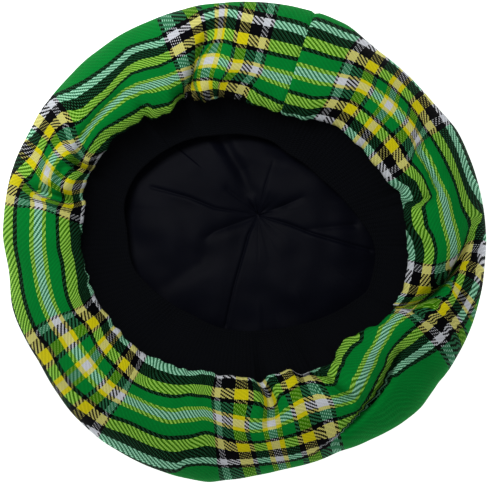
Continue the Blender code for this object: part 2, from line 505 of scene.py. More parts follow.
class Yarn(Enum):
    """The plaid's yarns, as screen colours in full light."""

    GREEN = (2, 145, 57)
    BLACK = (8, 8, 14)
    WHITE = (240, 244, 252)
    YELLOW = (248, 235, 26)

    def screen(self) -> tuple[float, float, float, float]:
        """The yarn's screen colour, 0 to 1."""
        return (*(c / 255.0 for c in self.value), 1.0)


@dataclass(frozen=True)
class Plaid:
    """The tartan: one sett for both directions, in a two-over-two twill."""

    name: str = "plaid_twill"
    sett: float = 253.0  # counts until the pattern repeats
    pivot: tuple[float, float] = (98.0, 56.0)  # the count that it mirrors about, along and across
    half_sett: tuple[tuple[float, Yarn], ...] = (
        # first count from the pivot, yarn
        (0.0, Yarn.WHITE),
        (4.0, Yarn.YELLOW),
        (8.5, Yarn.GREEN),
        (20.0, Yarn.BLACK),
        (24.0, Yarn.YELLOW),
        (36.0, Yarn.BLACK),
        (48.0, Yarn.WHITE),
        (56.0, Yarn.BLACK),
        (60.0, Yarn.GREEN),
    )
    threads: tuple[float, float] = (172.0, 240.0)  # in each sett, along and across
    float_over: float = 2.0  # threads that each one passes over, and then under
    # how much of its room a thread fills, light over dark and dark over light: across the strip, then
    # along it
    fill: tuple[tuple[float, float], tuple[float, float]] = ((0.35, 0.98), (0.83, 1.0))
    share: float = 0.5  # how much of the cloth's tint comes from the threads along the strip
    screen_gamma: float = 2.2
    across_shade: float = 0.93  # painted shade: how light the threads across the strip are beside those along it, as they lie lower
    groove: float = 0.3  # painted shade: how much darker it is between threads
    blots: Blots = Blots(90.0, 3.0, 0.16)
    relief: float = 0.16
    roughness: float = 0.9
    specular: float = 0.08

    def stripes(self, graph: Graph, thread: Socket, axis: int) -> Socket:
        """Gives each thread its yarn.

        Args:
            graph: the material.
            thread: the thread's number.
            axis: 0 for the threads counted along the strip, 1 for those counted across it.

        Returns:
            The yarn's screen colour.
        """
        offset = (0.5 - self.pivot[axis] / self.sett * self.threads[axis]) / self.threads[axis]
        turns = graph.math("MULTIPLY_ADD", thread, 1.0 / self.threads[axis], offset)
        away = graph.math("ABSOLUTE", graph.math("SUBTRACT", turns, graph.math("ROUND", turns)))
        # the ramp is read in even steps, so each count is two of them, and a stop stands between two
        step = 2.0 / RAMP_STEPS
        back = 0.25
        ramp = graph.add("ShaderNodeValToRGB", graph.math("MULTIPLY", away, self.sett * step))
        ramp.color_ramp.interpolation = "CONSTANT"
        stops = ramp.color_ramp.elements
        stops.remove(stops[1])
        for k, (first, yarn) in enumerate(self.half_sett):
            stop = stops[0] if k == 0 else stops.new((first - back) * step)
            stop.color = yarn.screen()
        return ramp.outputs[0]

    def swell(self, graph: Graph, along: Socket, across: Socket) -> Socket:
        """Rounds a thread by the ways, 0 to 1, along its float and across its width."""
        arch = [graph.math("SINE", graph.math("MULTIPLY", way, math.pi)) for way in (along, across)]
        return graph.math("MULTIPLY", graph.math("MULTIPLY_ADD", arch[0], 0.5, 0.5), arch[1])

    def material(self) -> bpy.types.Material:
        """Makes the cloth's material.

        Returns:
            The material.
        """
        graph = Graph(self.name)
        counts = graph.flat_place(COUNT)
        place = [graph.math("MULTIPLY", c, t / self.sett) for c, t in zip(counts, self.threads)]
        thread = [graph.math("FLOOR", p) for p in place]
        part = [graph.math("SUBTRACT", p, t) for p, t in zip(place, thread)]
        yarns = [self.stripes(graph, t, axis) for axis, t in enumerate(thread)]

        whole = 2 * self.float_over
        step = graph.math("FLOORED_MODULO", graph.math("SUBTRACT", thread[0], thread[1]), whole)
        under = graph.math("GREATER_THAN", step, self.float_over - 0.5)
        fills, shows = [], []
        for axis, (light, dark) in enumerate(self.fill):
            levels = graph.lightness(yarns[axis]), graph.lightness(yarns[1 - axis])
            darker = graph.math("LESS_THAN", *levels)
            fills.append(graph.math("MULTIPLY_ADD", darker, dark - light, light))
            side = graph.math("ABSOLUTE", graph.math("SUBTRACT", part[axis], 0.5))
            shows.append(graph.math("LESS_THAN", side, graph.math("MULTIPLY", fills[axis], 0.5)))
        # 1 where the thread that runs along the strip shows
        bare = graph.math("SUBTRACT", 1.0, shows[0])
        long_up = graph.add("ShaderNodeMix", under, None, bare, shows[1]).outputs[0]

        starts = (
            graph.math("ADD", graph.math("SUBTRACT", thread[0], place[1]), 1.0),
            graph.math("SUBTRACT", graph.math("SUBTRACT", place[0], thread[1]), self.float_over),
        )
        heights = []
        for start, side, fill in zip(starts, part, fills):
            way = graph.math("DIVIDE", graph.math("FLOORED_MODULO", start, whole), self.float_over)
            thin = graph.math("DIVIDE", graph.math("SUBTRACT", side, 0.5), fill)
            heights.append(self.swell(graph, way, graph.math("ADD", thin, 0.5)))
        height = graph.add("ShaderNodeMix", under, None, *heights).outputs[0]
        height = graph.math("MAXIMUM", height, 0.0)

        # neighbours share one tint, and each keeps how light it is
        tint = graph.blend(self.share, *yarns)
        light = graph.lightness(graph.blend(long_up, *yarns))
        lighter = graph.math("SUBTRACT", light, graph.lightness(tint))
        seen = graph.blend(1.0, tint, graph.grey(lighter), "ADD")
        seen = graph.blend(1.0, seen, (0.0, 0.0, 0.0, 1.0), "LIGHTEN")
        colour = graph.add("ShaderNodeGamma", seen, self.screen_gamma).outputs[0]

        # painted shade: darker where the threads across the strip show
        shade = graph.math("MULTIPLY_ADD", long_up, 1.0 - self.across_shade, self.across_shade)
        # painted shade between the threads, darkest where a thread's swell is low
        deep = graph.math("MULTIPLY_ADD", height, self.groove, 1.0 - self.groove)
        shade = graph.math("MULTIPLY", shade, deep)
        shade = graph.math("MULTIPLY", shade, graph.blotted(1.0, self.blots))
        graph.bump(height, self.relief)
        return graph.dress(
            graph.shaded(colour, shade), Roughness=self.roughness, Specular_IOR_Level=self.specular
        )


@dataclass(frozen=True)
class RibKnit:
    """Matt black elastic knit: stitches stacked along each rib."""

    name: str = "rib_knit"
    colour: Colour = srgb(12.5, 14, 18)
    stitch: float = 1.3  # height of one stitch
    lean: float = 0.9  # how steep a stitch's two legs are
    fuzz: Blots = Blots(900.0, 3.0, 0.6)
    low_shade: float = 0.6  # painted shade: how light the knit is in its hollows
    high_shade: float = 0.5  # painted highlight: how much lighter it is on its stitches
    relief: float = 0.25
    roughness: float = 0.95
    specular: float = 0.05

    def material(self) -> bpy.types.Material:
        """Makes the knit's material.

        Returns:
            The material.
        """
        graph = Graph(self.name)
        rib, way = graph.flat_place(self.stitch)
        half = graph.math("ABSOLUTE", graph.math("SUBTRACT", graph.math("FRACT", rib), 0.5))
        wave = graph.math("MULTIPLY_ADD", half, self.lean, way)
        legs = graph.math("SINE", graph.math("MULTIPLY", wave, math.tau))
        height = graph.blotted(graph.math("MULTIPLY_ADD", legs, 0.5, 0.5), self.fuzz)
        graph.bump(height, self.relief)
        # painted shade in the hollows between stitches, and a painted highlight on the stitches
        shade = graph.math("MULTIPLY_ADD", height, self.high_shade, self.low_shade)
        colour = graph.shaded((*self.colour, 1.0), shade)
        return graph.dress(colour, Roughness=self.roughness, Specular_IOR_Level=self.specular)


@dataclass(frozen=True)
class LiningSatin:
    """Thin near-black lining cloth with a soft blue shine."""

    name: str = "lining_satin"
    colour: Colour = srgb(7.4, 8.8, 18.8)
    yarn: float = 0.25
    swell: float = 0.25  # how much of the height each way's yarns make
    low_shade: float = 0.75
    blots: Blots = Blots(60.0, 3.0, 0.5)
    relief: float = 0.03
    roughness: float = 0.5
    specular: float = 0.06

    def material(self) -> bpy.types.Material:
        """Makes the lining's material.

        Returns:
            The material.
        """
        graph = Graph(self.name)
        place = graph.flat_place(self.yarn)
        waves = [graph.math("SINE", graph.math("MULTIPLY", p, math.tau)) for p in place]
        height = 0.5
        for wave in reversed(waves):
            height = graph.math("MULTIPLY_ADD", wave, self.swell, height)
        graph.bump(height, self.relief)
        colour = graph.shaded((*self.colour, 1.0), graph.blotted(self.low_shade, self.blots))
        return graph.dress(colour, Roughness=self.roughness, Specular_IOR_Level=self.specular)


def wall_height(t: Array) -> Array:
    """Gives the height of the tartan without its folds.

    Args:
        t: the way from the hem (0) over the crest to the rim (1).

    Returns:
        The height at each place.
    """
    inner = np.clip((CREST_AT - t) / CREST_AT, 0.0, 1.0)
    outer = np.clip((t - CREST_AT) / (1.0 - CREST_AT), 0.0, 1.0)
    rise = HEM_Z + (CREST_Z - HEM_Z) * (1.0 - inner**2) ** INNER_ROUND
    fall = RIM_Z + (CREST_Z - RIM_Z) * (1.0 - outer ** OUTER_ROUND[0]) ** OUTER_ROUND[1]
    return np.where(t < CREST_AT, rise, fall)


def flat_radius(angle: Array) -> Array:
    """Gives the edge of the part of the crown that lies flat.

    Args:
        angle: where to read it.

    Returns:
        Its distance from the plan centre at each angle.
    """
    x, y = FLAT_AT
    toward = x * np.cos(np.radians(angle)) + y * np.sin(np.radians(angle))
    return toward + np.sqrt(FLAT_R**2 - (x * x + y * y - toward**2))


def under_points(angle: Array, rim: Array, turn: Array) -> Array:
    """Gives the points where the wall turns under.

    Args:
        angle: the angle of each column.
        rim: the rim's radius there.
        turn: degrees turned, 0 at the rim to 90 on the floor, for each step across.

    Returns:
        Points, columns by steps.
    """
    turn = np.radians(turn)
    flat = flat_radius(angle)[:, None]
    plan = polar(angle[:, None], flat + (rim[:, None] - flat) * np.cos(turn))
    height = RIM_Z * (1.0 - np.sin(turn)) * np.ones(plan.shape[:2])
    return np.concatenate((plan, height[..., None]), -1)


@dataclass
class Strip:
    """The plaid strip's lie: where its threads run from the hem to the rim, section by section."""

    INNER_YELLOW = 26.0  # thread numbers across the strip
    MID_WHITE = 56.0
    OUTER_YELLOW = 86.0
    OUTER_WHITE = 108.0
    ONWARD = ((0.12, 0.16), (0.5, 0.56))  # shares of the way on to the rim, in plan and in threads

    # Fold edges that hide threads: a thread along, the edge's radius there, and the threads under it.
    TUCKS = (
        (  # lower right
            (887.0, 124.0, 0.0),
            (909.0, 121.6, 24.0),
            (922.0, 119.5, 28.0),
            (935.0, 117.9, 32.0),
            (950.0, 116.3, 38.0),
            (970.0, 112.2, 22.0),
            (990.0, 109.5, 0.0),
        ),
        (  # right
            (1066.0, 102.0, 0.0),
            (1080.0, 104.2, 31.0),
            (1110.0, 110.5, 36.0),
            (1140.0, 114.8, 44.0),
            (1162.0, 121.7, 20.0),
            (1185.0, 126.5, 0.0),
        ),
    )
    TUCK_WIDTH = 0.9
    # The threads seen nearest those edges, in the sections where they hide one of the three lines.
    INNER_SEEN = {1080: 38.0, 1110: 34.0, 1140: 33.0}
    MIDDLE_SEEN = {1080: 70.0, 1110: 71.0, 1140: 78.0}
    OUTER_SEEN = {935: 85.0, 950: 78.5}

    # Each section follows one thread across the strip. Lines that a fold hides are None.
    rows: tuple[tuple[float | None, ...], ...] = (
        # along; hem thread, angle, radius; inner yellow angle, radius; mid white angle, radius;
        # outer yellow angle, radius; outer white radius; rim angle, radius, thread
        (0, 19, 74.4, 76.6, 74.1, 78.7, 73.6, 95.9, 73.4, 113.0, 124.6, 72.8, 138.9, 128),
        (23, 19, 82.3, 78.0, 81.9, 80.8, 79.2, 96.2, 78.8, 112.7, 125.7, 77.7, 138.9, 127),
        (46, 14, 92.4, 81.7, 91.0, 87.3, 86.1, 98.3, 84.6, 113.8, 126.4, 83.1, 138.9, 126),
        (68, 9, 98.9, 84.3, 97.7, 90.1, 92.4, 100.1, 90.3, 116.0, 128.1, 88.3, 138.9, 122),
        (90, 5, 101.4, 83.5, 101.1, 91.7, 97.9, 104.2, 95.3, 119.4, 131.6, 93.5, 138.9, 120),
        (98, 9, 103.9, 83.3, 103.8, 92.2, 100.7, 105.6, 96.5, 119.7, 131.9, 95.1, 138.9, 119),
        (106, 10, 105.6, 83.7, 106.4, 93.1, 103.6, 106.0, 98.0, 119.9, 131.6, 97.0, 138.9, 120),
        (120, 11, 106.8, 84.8, 107.4, 94.0, 104.5, 105.6, 100.1, 119.4, 130.2, 101.0, 138.9, 122),
        (128, 11, 107.6, 85.7, 108.0, 94.3, 105.1, 104.5, 102.0, 119.0, 128.5, 103.4, 138.9, 124),
        (142, 9, 110.4, 88.2, 109.4, 94.3, 106.2, 101.9, 105.6, 117.4, 126.2, 107.0, 138.9, 128),
        (150, 8, 112.0, 89.7, 110.6, 94.0, 108.1, 101.6, 108.4, 116.0, 124.8, 108.9, 138.9, 130),
        (162, 6, 112.4, 90.2, 112.3, 91.3, 112.9, 101.6, 112.8, 114.3, 122.9, 112.5, 138.9, 133),
        (178, 18, 119.0, 85.7, 118.8, 87.4, 116.0, 101.7, 116.4, 114.7, 124.9, 116.3, 138.9, 134),
        (200, 18, 123.5, 86.3, 123.9, 89.2, 120.5, 103.6, 120.7, 117.0, 126.3, 121.0, 138.9, 130),
        (211, 18, 127.2, 88.0, 125.7, 91.9, 122.9, 105.2, 122.9, 117.7, 125.0, 123.4, 138.9, 131),
        (217, 18, 127.8, 91.4, 127.7, 93.8, 124.7, 106.0, 124.0, 117.6, 124.6, 124.7, 138.9, 131),
        (233, 18, 131.1, 90.8, 130.8, 93.6, 129.0, 107.9, 127.4, 116.3, 124.1, 128.2, 138.9, 133),
        (255, 17, 135.0, 92.5, 136.1, 96.0, 135.1, 108.5, 132.6, 114.9, 125.0, 133.2, 138.9, 130),
        (277, 16, 142.4, 95.6, 143.0, 100.2, 142.4, 109.0, 138.5, 115.9, 127.8, 138.9, 138.9, 122),
        (299, 4, 147.9, 95.0, 151.9, 100.8, 150.1, 110.0, 145.4, 124.9, 134.6, 143.6, 138.9, 115),
        (321, 4, 153.6, 95.6, 154.1, 100.2, 152.7, 115.8, 150.0, 126.9, 135.8, 149.1, 139.0, 111),
        (351, 4, 159.6, 95.5, 162.1, 104.1, 159.7, 118.4, 157.4, 127.3, None, 156.4, 138.9, 102),
        (366, 4, 164.3, 94.5, 166.4, 101.9, 165.9, 116.4, 161.8, 130.9, None, 160.8, 138.9, 97),
        (381, 4, 165.0, 93.4, 167.9, 101.5, 167.4, 120.0, 164.5, 134.2, None, 164.4, 139.1, 93),
        (403, 5, 171.8, 92.2, 170.5, 102.6, 169.2, 117.7, 169.3, 136.2, None, 169.2, 139.1, 91.5),
        (440, 9, 178.3, 92.8, 180.1, 101.1, 179.7, 116.1, 177.5, 134.7, None, 176.9, 138.5, 92),
        (477, 8, 188.4, 91.4, 186.9, 99.0, 186.7, 115.8, 186.9, 132.5, None, 186.9, 135.9, 90.5),
        (515, 6, 194.9, 90.4, 197.4, 100.0, 195.4, 115.7, 195.8, 132.9, None, 196.2, 137.6, 93.5),
        (552, 4, 199.8, 89.7, 202.2, 99.5, 202.6, 114.5, 204.0, 132.1, None, 204.6, 136.5, 94),
        (574, 4, 206.6, 87.4, 207.9, 96.0, 208.6, 112.7, 209.8, 129.6, None, 210.0, 135.6, 95),
        (604, 2, 214.4, 86.3, 216.1, 97.5, 218.0, 112.1, 218.2, 131.2, None, 218.2, 137.4, 98),
        (634, 2, 223.8, 84.8, 225.6, 96.2, 226.9, 112.5, 226.1, 128.9, None, 225.8, 139.1, 103),
        (656, 2, 227.5, 83.9, 230.1, 96.8, 231.1, 110.5, 231.1, 128.0, 137.3, 231.5, 139.3, 110),
        (690, 0, 236.4, 80.6, 234.7, 96.0, 237.7, 108.4, 238.6, 123.9, 135.3, 240.0, 139.3, 113),
        (722, 0, 244.1, 79.1, 245.2, 91.3, 247.1, 105.7, 246.1, 123.3, 134.2, 248.3, 139.3, 114),
        (745, 2, 248.2, 78.2, 251.0, 86.9, 251.0, 102.1, 252.1, 120.3, 132.9, 253.3, 139.3, 119),
        (762, 4, 251.5, 76.6, 253.3, 86.4, 253.9, 100.1, 254.7, 117.7, 127.9, 256.8, 139.3, 131),
        (784, 5, 255.4, 75.7, 255.4, 85.8, 257.1, 98.3, 259.6, 112.9, 125.0, 261.1, 139.1, 138),
        (805, 5, 259.7, 75.6, 259.9, 85.6, 261.9, 99.6, 263.4, 113.9, 124.7, 266.5, 136.2, 132),
        (827, 5, 269.6, 75.5, 269.4, 85.3, 268.5, 101.8, 270.2, 115.6, 123.7, 272.1, 134.1, 129),
        (842, 5, 274.6, 77.4, 275.8, 86.9, 273.5, 103.4, 274.6, 115.5, 123.3, 275.9, 133.1, 128),
        (857, 3, 277.0, 80.0, 279.6, 91.7, 278.8, 103.1, 279.2, 115.4, 123.9, 280.2, 132.1, 127),
        (872, 5, 281.4, 76.6, 282.9, 84.7, 284.4, 100.4, 284.0, 115.8, 124.5, 283.9, 131.8, 126),
        (887, 5, 288.4, 76.5, 289.7, 82.8, 289.0, 98.7, 288.7, 116.0, 124.0, 288.7, 131.9, 126),
        (909, 5, 295.7, 82.3, 295.3, 84.6, 296.0, 100.2, 295.0, 116.0, None, 294.1, 132.0, 125),
        (922, 5, 298.5, 82.4, 302.4, 91.6, 301.8, 104.0, 299.1, 117.3, None, 297.8, 132.9, 131),
        (935, 8, 302.0, 83.1, 303.6, 89.8, 304.8, 106.0, 301.8, 117.3, None, 302.1, 134.0, 136),
        (950, 18, 307.1, 84.3, 307.9, 86.0, 310.0, 102.5, 305.1, 115.8, None, 306.5, 135.8, 143),
        (970, 18, 310.7, 80.6, 310.9, 82.8, 314.7, 99.1, 315.3, 110.4, None, 312.1, 138.0, 150),
        (990, 20, 315.4, 79.7, 315.3, 81.7, 318.0, 97.0, 319.0, 107.6, 111.5, 317.1, 138.9, 153),
        (1005, 25, 319.7, 81.4, 319.5, 82.0, 321.1, 95.7, 322.7, 105.1, 112.9, 320.8, 138.0, 149),
        (1020, 34, 323.6, 83.7, None, None, 325.9, 94.7, 326.0, 105.6, 115.3, 324.2, 137.5, 142),
        (1040, 40, 329.0, 89.1, None, None, 332.3, 94.7, 330.5, 108.9, 118.2, 327.0, 138.3, 136),
        (1058, 46, 336.3, 93.4, None, None, 337.6, 99.4, 336.0, 113.7, 123.5, 329.9, 138.8, 132),
        (1066, 48, 336.8, 93.9, None, None, 337.9, 99.9, 337.7, 115.7, 125.7, 332.6, 138.9, 130),
        (1080, 24, 337.1, 93.1, 339.6, 103.0, 343.2, 113.0, 342.1, 118.6, 127.3, 335.5, 139.1, 127),
        (1110, 0, 337.8, 92.2, 343.2, 108.6, 349.3, 119.3, 347.6, 123.1, 131.9, 342.8, 139.3, 121),
        (1140, 0, 344.4, 94.2, 346.4, 112.8, 353.6, 123.3, 354.4, 124.8, 135.0, 352.2, 139.3, 115),
        (1162, 0, 352.8, 94.2, 351.8, 104.6, 354.9, 120.0, 358.7, 127.7, 136.1, 358.0, 139.3, 110),
        (1185, 0, 357.6, 93.4, 357.5, 105.4, 359.6, 118.7, 365.4, 132.4, None, 365.1, 139.3, 98),
        (1200, 3, 361.9, 93.1, 361.2, 103.9, 363.1, 117.4, 366.6, 132.7, None, 366.8, 139.3, 95),
        (1220, 12, 367.4, 92.8, 365.8, 99.5, 367.5, 116.2, 370.9, 127.9, 137.3, 371.0, 139.3, 110),
        (1240, 10, 371.2, 92.8, 371.2, 99.6, 371.4, 116.1, 375.0, 126.9, 133.9, 375.1, 139.3, 113),
        (1250, 2, 375.2, 93.4, 372.4, 102.5, 373.2, 115.4, 376.9, 126.9, 133.4, 376.9, 139.3, 114.5),
        (1258, 0, 376.5, 93.5, 373.9, 107.1, 375.4, 115.1, 378.7, 126.7, 133.3, 378.7, 139.3, 115),
        (1275, 0, 378.4, 93.7, 379.0, 106.2, 378.7, 114.2, 382.5, 126.5, 134.2, 382.4, 139.1, 115.5),
        (1293, 0, 380.2, 91.4, 382.1, 104.1, 387.2, 112.9, 386.8, 126.2, 134.5, 387.8, 138.3, 115),
        (1311, 0, 385.9, 88.4, 386.5, 100.7, 390.7, 114.6, 392.3, 124.8, 134.9, 391.6, 136.9, 113),
        (1333, 0, 392.0, 87.0, 393.6, 100.6, 394.9, 114.8, 398.2, 125.6, None, 398.0, 135.3, 108),
        (1363, 0, 400.6, 85.9, 402.3, 98.8, 403.6, 113.3, 406.1, 125.4, None, 406.3, 135.1, 107),
        (1393, 0, 411.5, 84.8, 411.6, 96.9, 412.4, 111.8, 414.0, 123.7, None, 414.1, 134.9, 108),
        (1415, 0, 418.5, 81.9, 417.6, 93.6, 418.7, 107.2, 419.7, 123.1, 133.9, 418.6, 135.9, 112),
        (1441, 4, 425.7, 77.7, 425.6, 86.8, 426.1, 103.3, 425.8, 120.4, 131.3, 425.4, 138.7, 120),
        (1468, 6, 434.4, 76.6, 434.1, 85.7, 433.6, 102.3, 433.4, 119.8, 131.1, 432.8, 138.9, 121),
    )

    def tucked(self, along: Array, radius: Array) -> Array:
        """Works out how many threads the fold edges have hidden.

        Args:
            along: the thread number along the strip of each place.
            radius: the radius of each place.

        Returns:
            The number of threads hidden between the hem and each place.
        """
        total = np.zeros(np.broadcast(along, radius).shape)
        for tuck in self.TUCKS:
            place, *columns = np.array(tuck).T
            edge, hidden = (np.interp(along, place, column) for column in columns)
            past = np.clip((radius - edge) / self.TUCK_WIDTH + 0.5, 0.0, 1.0)
            total += hidden * past * past * (3 - 2 * past)
        return total

    def curves(self, steps: Array) -> tuple[Curve, Curve, Curve]:
        """Runs curves along the strip through the sections.

        Args:
            steps: the way from the hem (0) to the rim (1) of each step across.

        Returns:
            The radius, angle and thread number at each step, as curves over the thread along.
        """
        radii, angles, threads = [], [], []
        for along, hem_v, hem_a, hem_r, a1, r1, a2, r2, a3, r3, r4, rim_a, rim_r, rim_v in self.rows:
            inner = self.INNER_SEEN.get(along, self.INNER_YELLOW)
            middle = self.MIDDLE_SEEN.get(along, self.MID_WHITE)
            outer = self.OUTER_SEEN.get(along, self.OUTER_YELLOW)
            lines = [(hem_r, hem_v, hem_a), (r1, inner, a1), (r2, middle, a2)]
            lines += [(r3, outer, a3), (r4, self.OUTER_WHITE, None)]
            if r4 is not None:
                for plan, share in self.ONWARD:
                    further = self.OUTER_WHITE + share * (rim_v - self.OUTER_WHITE)
                    lines.append((r4 + plan * (rim_r - r4), further, None))
            lines.append((rim_r, rim_v, rim_a))
            seen = np.array([line[:2] for line in lines if line[0] is not None])
            aimed = np.array([line[::2] for line in lines if None not in line])
            radius = hem_r + steps * (rim_r - hem_r)
            radii.append(radius)
            seen[:, 1] -= self.tucked(along, seen[:, 0])
            threads.append(Curve(seen[:, 0], seen[:, 1])(radius))
            angles.append(Curve(aimed[:, 0], aimed[:, 1])(radius))
        along = np.array([row[0] for row in self.rows], float)
        return tuple(Curve(along, np.array(table)) for table in (radii, angles, threads))

    def length(self) -> float:
        """Number of threads along the strip."""
        return float(self.rows[-1][0])


@dataclass
class Underside:
    """The tartan strip, from the band over the crest and round the rim to the crown's seam."""

    name: str = "tartan_underside"
    around: int = 760
    upper_steps: int = 44
    under_steps: int = 13
    crowding: float = 0.05  # how much closer the steps are at the hem and the rim
    wall: float = 1.2
    hem_roll: float = 0.9  # radius of the turned hem
    hem_turns: tuple[float, ...] = (90.0, 60.0, 30.0)
    seam_roll: float = 1.1  # radius of the allowance turned in at the crown's seam
    seam_turns: tuple[float, ...] = (35.0, 70.0)
    seam_back: float = 0.9  # how much of the turn's way onward is taken back
    seam_dip: float = 1.1  # the cross seam's groove
    seam_width: float = 1.5
    gather: float = 0.55  # height of the small gathers at the hem
    gathers: Crumple = Crumple(7, 8.0, 18.0)
    gather_reach: float = 0.16  # of the way to the rim
    ease: float = 0.8  # height of the easing puckers at the crown's seam
    puckers: Crumple = Crumple(8, 12.0, 26.0)
    crumple: float = 0.35  # height of the cloth's slight unevenness
    unevenness: Crumple = Crumple(9, 14.0, 60.0)
    # the thread at the crown's seam: a number, and how much of the rim's thread is added to it
    far_seam_thread: tuple[float, float] = (130.0, 0.45)
    cut: tuple[float, float] = (0.116, 0.881)
    folds: tuple[Fold, ...] = tuple(
        Fold.turned(*row)
        for row in (
            # kind, half width; angle, radius and height of each point
            # lower right: hump over the band, and the creases round it
            (RIDGE, 13.0, (305, 101, 6.5), (335, 95, 6.0)),
            (CREASE, 3.0, (299, 120.5, -5.0), (304, 117.8, -9.0), (311, 114.6, -11.0),
             (318, 110.8, -11.0), (325, 108, -6.0)),
            (CREASE, 4.0, (299, 83, -8.0), (304, 107, -9.0)),
            # bottom
            (CREASE, 3.4, (278, 80, -7.0), (279.5, 92, -8.0), (278, 104, -4.0)),
            # top
            (CREASE, 2.5, (99.8, 89, -2.5), (100.5, 94, -2.5)),
            (CREASE, 3.4, (112.5, 90, -9.5), (108.3, 95, -11.0), (105.0, 105, -9.5),
             (101.9, 113, -7.0), (99.3, 120, -5.0), (98.3, 128, -2.0)),
            (RIDGE, 5.0, (96.5, 124, -3.5), (99, 112, -4.5), (103, 98, -4.5)),
            (CREASE, 2.5, (127.5, 86.5, -4.0), (127, 95.5, -2.5)),
            # upper left
            (CREASE, 2.6, (147, 109, -5.0), (152.7, 105.2, -8.0), (155.3, 104, -7.0)),
            (CREASE, 2.6, (155.5, 107.5, -7.0), (155.5, 96, -4.5)),
            (RIDGE, 3.6, (156.5, 116.5, 3.0), (162, 116, 3.0)),
            (CREASE, 2.8, (157.5, 110.5, -5.0), (163, 110.5, -4.0)),
            (CREASE, 3.0, (159.7, 118.5, -4.0), (164, 115, -4.5)),
            (CREASE, 3.8, (165.5, 130, -4.0), (166, 119, -8.0), (166, 108, -10.0),
             (167.5, 98, -6.0)),
            (RIDGE, 7.0, (161.5, 104, 3.0), (162, 107, 3.0)),
            (CREASE, 3.0, (130, 109.5, -4.0), (147, 110.5, -5.0)),
            # right
            (CREASE, 3.0, (17, 115, -5.0), (28, 114.5, -5.0)),
            (CREASE, 4.0, (13.5, 93, -5.0), (13.5, 106.5, -4.0)),
            (RIDGE, 5.0, (5, 98, 2.0), (11, 98, 2.0)),
            (CREASE, 4.0, (358.5, 93, -4.0), (358.5, 103, -3.0)),
            # the deep tuck at the right
            (CREASE, 5.2, (337.5, 94, -8.0), (341.3, 106.5, -14.0), (345, 112.0, -17.0),
             (350, 118.0, -16.0), (357, 125.8, -10.0), (363, 130.5, -6.0), (367, 136, -3.0)),
        )
    )

    def upper(self, along: Array, steps: Array) -> tuple[Array, Array]:
        """Lays the strip from the hem to the rim.

        Args:
            along: the thread number of each column.
            steps: the way from the hem (0) to the rim (1) of each step across.

        Returns:
            The points, and the thread number across of each.
        """
        radius, angle, thread = (curve(along) for curve in Strip().curves(steps))
        thread = thread + Strip().tucked(along[:, None], radius)
        plan = polar(angle, radius)
        height = wall_height(steps)[None, :] * np.ones_like(radius)
        fade = 1.0 - steps**4
        for fold in self.folds:
            height = height + fold.heights(plan) * fade
        return np.concatenate((plan, height[..., None]), -1), thread

    def outer(self) -> ClothFace:
        """Lays the strip's outer face, from the hem to the crown's seam.

        Returns:
            The face, smooth but for its folds.
        """
        along = np.linspace(0.0, Strip().length(), self.around + 1)
        steps = np.linspace(0.0, 1.0, self.upper_steps)
        steps = steps - self.crowding * np.sin(steps * math.tau)
        points, thread = self.upper(along, steps)
        rim = points[:, -1, :2]
        angle = np.degrees(np.arctan2(rim[:, 1], rim[:, 0]))
        turn = np.linspace(0.0, SEAM_TURN, self.under_steps + 1)[1:]
        under = under_points(angle, np.linalg.norm(rim, axis=1), turn)
        base, rate = self.far_seam_thread
        last = base + rate * thread[:, -1:]
        far = thread[:, -1:] + (last - thread[:, -1:]) * (turn / SEAM_TURN)
        points = np.concatenate((points, under), 1)
        thread = np.concatenate((thread, far), 1)
        flat = np.stack((np.broadcast_to(along[:, None], thread.shape), thread), -1) * COUNT * MM
        return ClothFace(points[:-1], flat)

    def roughened(self, face: ClothFace) -> ClothFace:
        """Adds the gathers, the cross seam's groove and the cloth's slight unevenness.

        Args:
            face: the smooth outer face.

        Returns:
            The face with its small forms.
        """
        across = face.points.shape[1]
        way = np.arange(across) / (self.upper_steps - 1)  # 1 at the rim
        length = Strip().length() * COUNT
        along = np.arange(self.around) * length / self.around
        seam = np.minimum(along, length - along)[:, None]
        groove = -self.seam_dip * np.exp(-((seam / self.seam_width) ** 2)) * np.ones(across)
        ring = polar(along / length * 360.0, np.full(self.around, length / math.tau))
        pleats = self.gathers(ring)[:, None] * np.exp(-((way / self.gather_reach) ** 2))
        under = np.clip((way - 1.0) / (way.max() - 1.0), 0.0, 1.0)
        puckers = self.puckers(ring)[:, None] * under**2
        uneven = self.unevenness(face.points)
        lift = groove + self.gather * pleats + self.ease * puckers + self.crumple * uneven
        return ClothFace(face.points + face.normals(1) * lift[..., None], face.flat)

    def rolled(self, face: ClothFace) -> ClothFace:
        """Turns the strip's two edges in.

        Args:
            face: the outer face.

        Returns:
            The face with the turned hem before it and the seam's allowance after it.
        """
        out = unit(face.points[:, 0] * (1.0, 1.0, 0.0))
        centre = face.points[:, 0] + out * self.hem_roll
        hem, hem_flat = [], []
        for turn in self.hem_turns:
            a = math.radians(turn)
            hem.append(centre - self.hem_roll * (out * math.cos(a) + UP * math.sin(a)))
            hem_flat.append(face.flat[:, 0] - (0.0, self.hem_roll * a * MM))
        facing = face.normals(2)[:, -1]
        onward = unit(face.points[:, -1] - face.points[:, -2])
        seam, seam_flat = [], []
        for turn in self.seam_turns:
            a = math.radians(turn)
            step = onward * math.sin(a) - facing * (1.0 - math.cos(a))
            back = onward * self.seam_back * math.sin(a)
            seam.append(face.points[:, -1] + self.seam_roll * (step - back))
            seam_flat.append(face.flat[:, -1] + (0.0, self.seam_roll * a * MM))
        before = ClothFace(np.stack(hem, 1), np.stack(hem_flat, 1))
        after = ClothFace(np.stack(seam, 1), np.stack(seam_flat, 1))
        return before.joined(face).joined(after)

